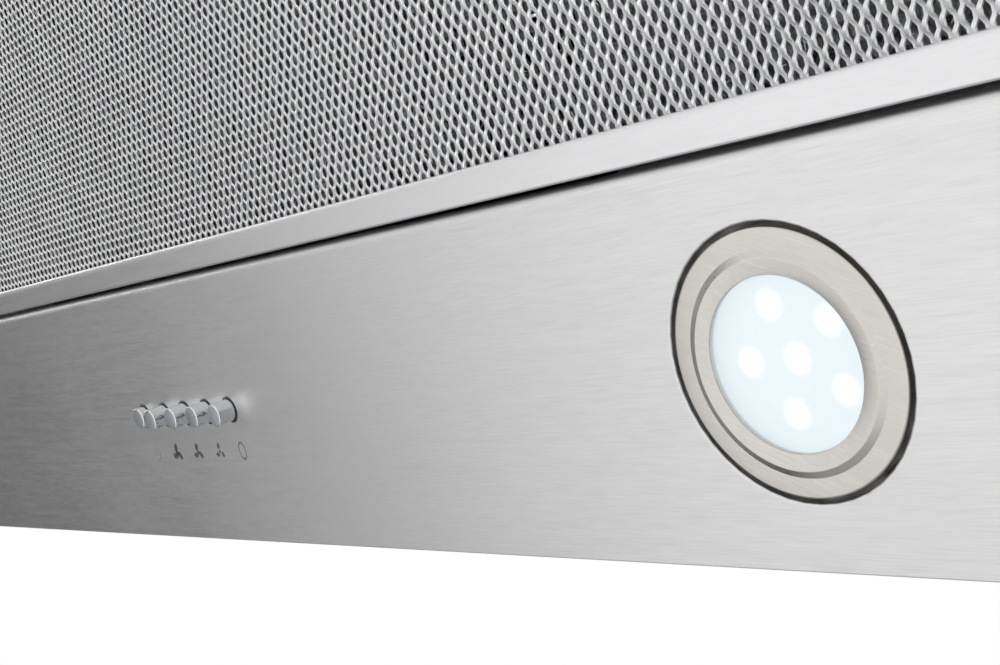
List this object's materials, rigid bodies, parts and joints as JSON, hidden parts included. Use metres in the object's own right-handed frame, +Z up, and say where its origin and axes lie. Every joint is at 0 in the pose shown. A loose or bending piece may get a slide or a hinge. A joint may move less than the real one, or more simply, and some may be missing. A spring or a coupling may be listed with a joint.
{
  "type": "undermount range hood",
  "caption": "Undermount range hood: steel plate with lamps, push buttons and a hinged grease filter, under a canopy, blower tower and duct collar with damper flaps.",
  "frame": {"origin": "middle of the four fixing screws, in the plane that seats on the underside of the cabinet", "axes": "+X along the hood to the user's right, +Y from the front edge to the wall, +Z up into the cabinet"},
  "size_m": [0.86, 0.29, 0.309],
  "materials": {
    "black_plastic": "fine moulded texture",
    "board_white": "solder mask",
    "brushed_stainless": "brushed along the hood",
    "capacitor_plastic": "moulded",
    "cast_aluminium": "die cast",
    "chrome": "polished",
    "filter_steel": "fine brushed",
    "flap_aluminium": "mill finish",
    "frosted_glass": "frosted",
    "latch_steel": "satin",
    "led_chip": "phosphor",
    "mesh_aluminium": "bright expanded sheet",
    "motor_black": "black enamel",
    "rubber": "matte",
    "satin_nickel": "warm satin nickel",
    "screw_steel": "zinc plated",
    "spring_steel": "bright spring steel",
    "wheel_steel": "galvanised",
    "white_plastic": "matte",
    "zinc_steel": "galvanised, faint spangle"
  },
  "bodies": {
    "hood": {"bottom_plate": "brushed_stainless", "bracket_screws": "screw_steel", "cable_gland": "black_plastic", "canopy_body": "zinc_steel", "capacitor": "capacitor_plastic", "capacitor_strap": "zinc_steel", "clip_rivets": "screw_steel", "control_channel": "zinc_steel", "damper_axles": "screw_steel", "lamp_bezel_left": "satin_nickel", "lamp_bezel_right": "satin_nickel", "lamp_board_left": "board_white", "lamp_board_right": "board_white", "lamp_can_left": "cast_aluminium", "lamp_can_right": "cast_aluminium", "lamp_driver": "white_plastic", "lamp_leds_left": "led_chip", "lamp_leds_right": "led_chip", "lamp_lens_left": "frosted_glass", "lamp_lens_right": "frosted_glass", "lamp_reflector_left": "white_plastic", "lamp_reflector_right": "white_plastic", "motor": "motor_black", "motor_bracket": "zinc_steel", "motor_grommets": "rubber", "motor_tower": "zinc_steel", "outlet_collar": "zinc_steel", "outlet_screws": "screw_steel", "scroll_side_left": "zinc_steel", "scroll_side_right": "zinc_steel", "scroll_wrap": "zinc_steel", "side_clips": "spring_steel", "switch_body": "black_plastic", "switch_bracket": "zinc_steel", "switch_nuts": "screw_steel", "terminal_block": "white_plastic", "terminal_box": "black_plastic", "terminal_box_lid": "black_plastic", "tower_screws": "screw_steel"},
    "wheel": {"wheel": "wheel_steel", "motor_shaft": "screw_steel", "wheel_nut": "screw_steel"},
    "filter": {"filter_frame": "filter_steel", "filter_layers": "mesh_aluminium", "filter_mesh_front": "mesh_aluminium", "filter_mesh_rear": "mesh_aluminium", "hinge_pins": "screw_steel", "latch_housings": "zinc_steel", "latch_spring_left": "spring_steel", "latch_spring_right": "spring_steel"},
    "latch_left": {"latch_left": "latch_steel"},
    "latch_right": {"latch_right": "latch_steel"},
    "damper_flap_front": {"damper_flap_front": "flap_aluminium"},
    "damper_flap_rear": {"damper_flap_rear": "flap_aluminium"},
    "button_0": {"button_0": "chrome"},
    "button_1": {"button_1": "chrome"},
    "button_2": {"button_2": "chrome"},
    "button_3": {"button_3": "chrome"},
    "button_light": {"button_light": "chrome"}
  },
  "joints": [
    {"name": "button_0_press", "type": "slide", "parent": "hood", "child": "button_0", "axis": [0, 0, 1], "range_m": [0, 0.0036], "stiffness_N_per_m": 400, "springref_m": -0.002},
    {"name": "button_1_press", "type": "slide", "parent": "hood", "child": "button_1", "axis": [0, 0, 1], "range_m": [0, 0.0036], "stiffness_N_per_m": 400, "springref_m": -0.002},
    {"name": "button_2_press", "type": "slide", "parent": "hood", "child": "button_2", "axis": [0, 0, 1], "range_m": [0, 0.0036], "stiffness_N_per_m": 400, "springref_m": -0.002},
    {"name": "button_3_press", "type": "slide", "parent": "hood", "child": "button_3", "axis": [0, 0, 1], "range_m": [0, 0.0036], "stiffness_N_per_m": 400, "springref_m": -0.002},
    {"name": "button_light_press", "type": "slide", "parent": "hood", "child": "button_light", "axis": [0, 0, 1], "range_m": [-0.0036, 0]},
    {"name": "wheel_spin", "type": "hinge", "parent": "hood", "child": "wheel", "pos_m": [0, -0.026, 0.151], "axis": [1, 0, 0], "continuous": true},
    {"name": "filter_swing", "type": "hinge", "parent": "hood", "child": "filter", "pos_m": [0, -0.037, 0.0006], "axis": [-1, 0, 0], "range_deg": [0, 80]},
    {"name": "latch_left_slide", "type": "slide", "parent": "filter", "child": "latch_left", "axis": [0, -1, 0], "range_m": [0, 0.0052], "stiffness_N_per_m": 500, "springref_m": -0.002, "deforming": ["latch_spring_left"]},
    {"name": "latch_right_slide", "type": "slide", "parent": "filter", "child": "latch_right", "axis": [0, -1, 0], "range_m": [0, 0.0052], "stiffness_N_per_m": 500, "springref_m": -0.002, "deforming": ["latch_spring_right"]},
    {"name": "damper_front_swing", "type": "hinge", "parent": "hood", "child": "damper_flap_front", "pos_m": [0, 0.0225, 0.2538], "axis": [-1, 0, 0], "range_deg": [0, 80]},
    {"name": "damper_rear_swing", "type": "hinge", "parent": "hood", "child": "damper_flap_rear", "pos_m": [0, 0.0295, 0.2538], "axis": [1, 0, 0], "range_deg": [0, 80]}
  ]
}
